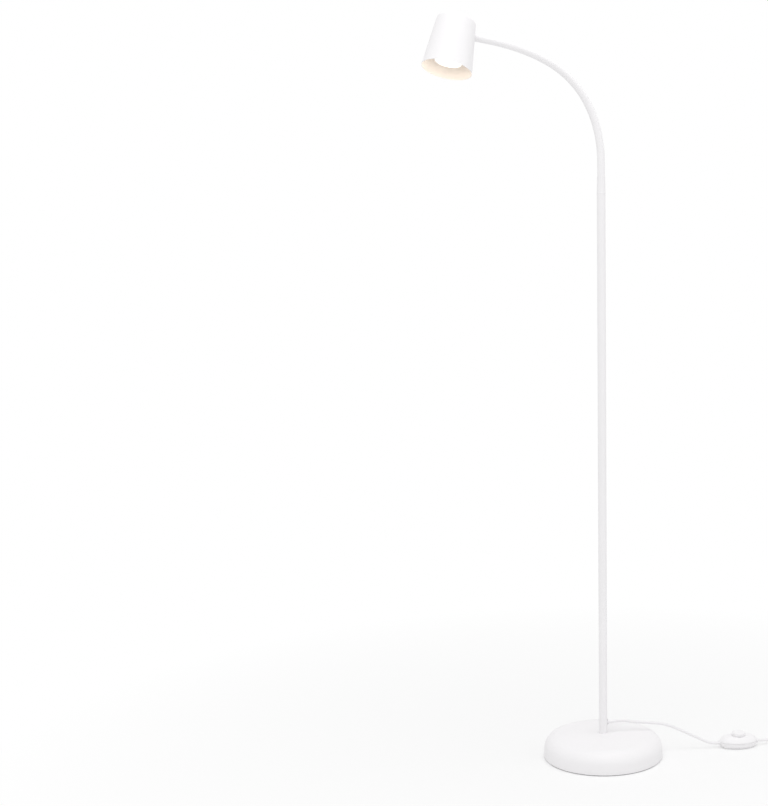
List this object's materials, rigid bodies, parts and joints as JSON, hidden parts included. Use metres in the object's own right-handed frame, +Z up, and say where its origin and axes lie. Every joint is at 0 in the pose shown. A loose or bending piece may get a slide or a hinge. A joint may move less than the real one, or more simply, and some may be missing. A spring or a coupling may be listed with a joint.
{
  "type": "gooseneck reading floor lamp",
  "caption": "White floor lamp for reading: round weighted base, slim pole, bendable neck, conical metal shade, foot switch on the cord.",
  "frame": {"origin": "on the floor, in the middle of the floor pad under the round base, on the pole's axis", "axes": "+Z up along the pole; the neck reaches towards -X in the middle of its range; the cord leaves the pole's foot towards +X"},
  "size_m": [0.8476, 0.233, 1.3989],
  "materials": {
    "enamel": "white powder coat, satin",
    "sleeve": "smooth white plastic sleeve, satin",
    "weight": "raw casting",
    "pad": "matte",
    "zinc": "zinc plated",
    "insert": "turned",
    "hose": "wound steel",
    "wire": "insulated wire",
    "holder": "unglazed",
    "lamp_body": "satin",
    "lamp_glass": "frosted, lit",
    "lamp_metal": "turned",
    "switch_white": "satin",
    "block": "matte",
    "contact_rubber": "matte",
    "cord": "smooth jacket",
    "tie": "matte",
    "plug": "satin",
    "contact_metal": "nickel plated"
  },
  "bodies": {
    "stand": {"base_cover": "enamel", "floor_pad": "pad", "weight_plate": "weight", "base_washer": "zinc", "base_nut": "zinc", "base_rod": "zinc", "base_spacer": "zinc", "pole_lower": "enamel", "pole_upper": "enamel", "pole_foot_insert": "insert", "pole_coupler": "insert", "pole_top_insert": "insert", "trim_ring": "enamel", "cord_bushing": "contact_rubber", "pole_wires": "wire", "neck_ferrule": "enamel", "neck_root_nipple": "zinc", "neck_sleeve_root": "sleeve", "neck_hose_root": "hose", "switch_lower_shell": "switch_white", "switch_upper_shell": "switch_white", "contact_block": "block", "button_spring": "zinc", "switch_grommets": "contact_rubber", "switch_leads": "wire", "switch_screws": "zinc", "cord_to_switch": "cord", "cord_to_coil": "cord", "cord_coil": "cord", "coil_tie": "tie", "cord_to_plug": "cord", "plug_body": "plug", "plug_pins": "contact_metal"},
    "neck_link_1": {"neck_sleeve_1": "sleeve", "neck_hose_1": "hose"},
    "neck_link_2": {"neck_sleeve_2": "sleeve", "neck_hose_2": "hose"},
    "neck_link_3": {"neck_sleeve_3": "sleeve", "neck_hose_3": "hose"},
    "neck_link_4": {"neck_sleeve_4": "sleeve", "neck_hose_4": "hose"},
    "neck_link_5": {"neck_sleeve_5": "sleeve", "neck_hose_5": "hose"},
    "neck_link_6": {"neck_sleeve_6": "sleeve", "neck_hose_6": "hose"},
    "head": {"neck_sleeve_head": "sleeve", "neck_hose_head": "hose", "head_nipple": "zinc", "head_washer": "zinc", "head_nut": "zinc", "shade": "enamel", "holder_bracket": "zinc", "lampholder": "holder", "holder_screws": "zinc", "head_wires": "wire"},
    "lamp": {"lamp_housing": "lamp_body", "lamp_lens": "lamp_glass", "lamp_pins": "lamp_metal"},
    "foot_button": {"switch_button": "switch_white"}
  },
  "joints": [
    {"name": "neck_lower_bend", "type": "hinge", "parent": "stand", "child": "neck_link_1", "pos_m": [0, 0, 1.1415], "axis": [0, -1, 0], "range_deg": [-16, 17]},
    {"name": "neck_side_bend", "type": "hinge", "parent": "neck_link_1", "child": "neck_link_2", "pos_m": [-0.00645, 0, 1.19599], "axis": [0.9724, 0, 0.2334], "range_deg": [-22, 22]},
    {"name": "neck_lower_bend_2", "type": "hinge", "parent": "neck_link_2", "child": "neck_link_3", "pos_m": [-0.02632, 0, 1.2471], "axis": [0, -1, 0], "range_deg": [-16, 17]},
    {"name": "neck_upper_bend", "type": "hinge", "parent": "neck_link_3", "child": "neck_link_4", "pos_m": [-0.06023, 0, 1.2901], "axis": [0, -1, 0], "range_deg": [-16, 17]},
    {"name": "neck_side_bend_2", "type": "hinge", "parent": "neck_link_4", "child": "neck_link_5", "pos_m": [-0.10565, 0, 1.32075], "axis": [0.4305, 0, 0.9026], "range_deg": [-22, 22]},
    {"name": "neck_upper_bend_2", "type": "hinge", "parent": "neck_link_5", "child": "neck_link_6", "pos_m": [-0.15695, 0, 1.34044], "axis": [0, -1, 0], "range_deg": [-16, 17]},
    {"name": "neck_upper_bend_3", "type": "hinge", "parent": "neck_link_6", "child": "head", "pos_m": [-0.21055, 0, 1.35256], "axis": [0, -1, 0], "range_deg": [-16, 17]},
    {"name": "lamp_twist", "type": "hinge", "parent": "head", "child": "lamp", "pos_m": [-0.27794, -0.00165, 1.35503], "axis": [0.2622, 0.1981, 0.9445], "range_deg": [0, 30]},
    {"name": "foot_button_press", "type": "slide", "parent": "stand", "child": "foot_button", "axis": [0, 0, -1], "range_m": [0, 0.003], "stiffness_N_per_m": 700, "springref_m": -0.003, "deforming": ["button_spring"]}
  ],
  "couplings": [
    {"joint": "neck_lower_bend_2", "follows": "neck_lower_bend", "ratio": 1},
    {"joint": "neck_side_bend_2", "follows": "neck_side_bend", "ratio": 1},
    {"joint": "neck_upper_bend_2", "follows": "neck_upper_bend", "ratio": 1},
    {"joint": "neck_upper_bend_3", "follows": "neck_upper_bend", "ratio": 1}
  ]
}
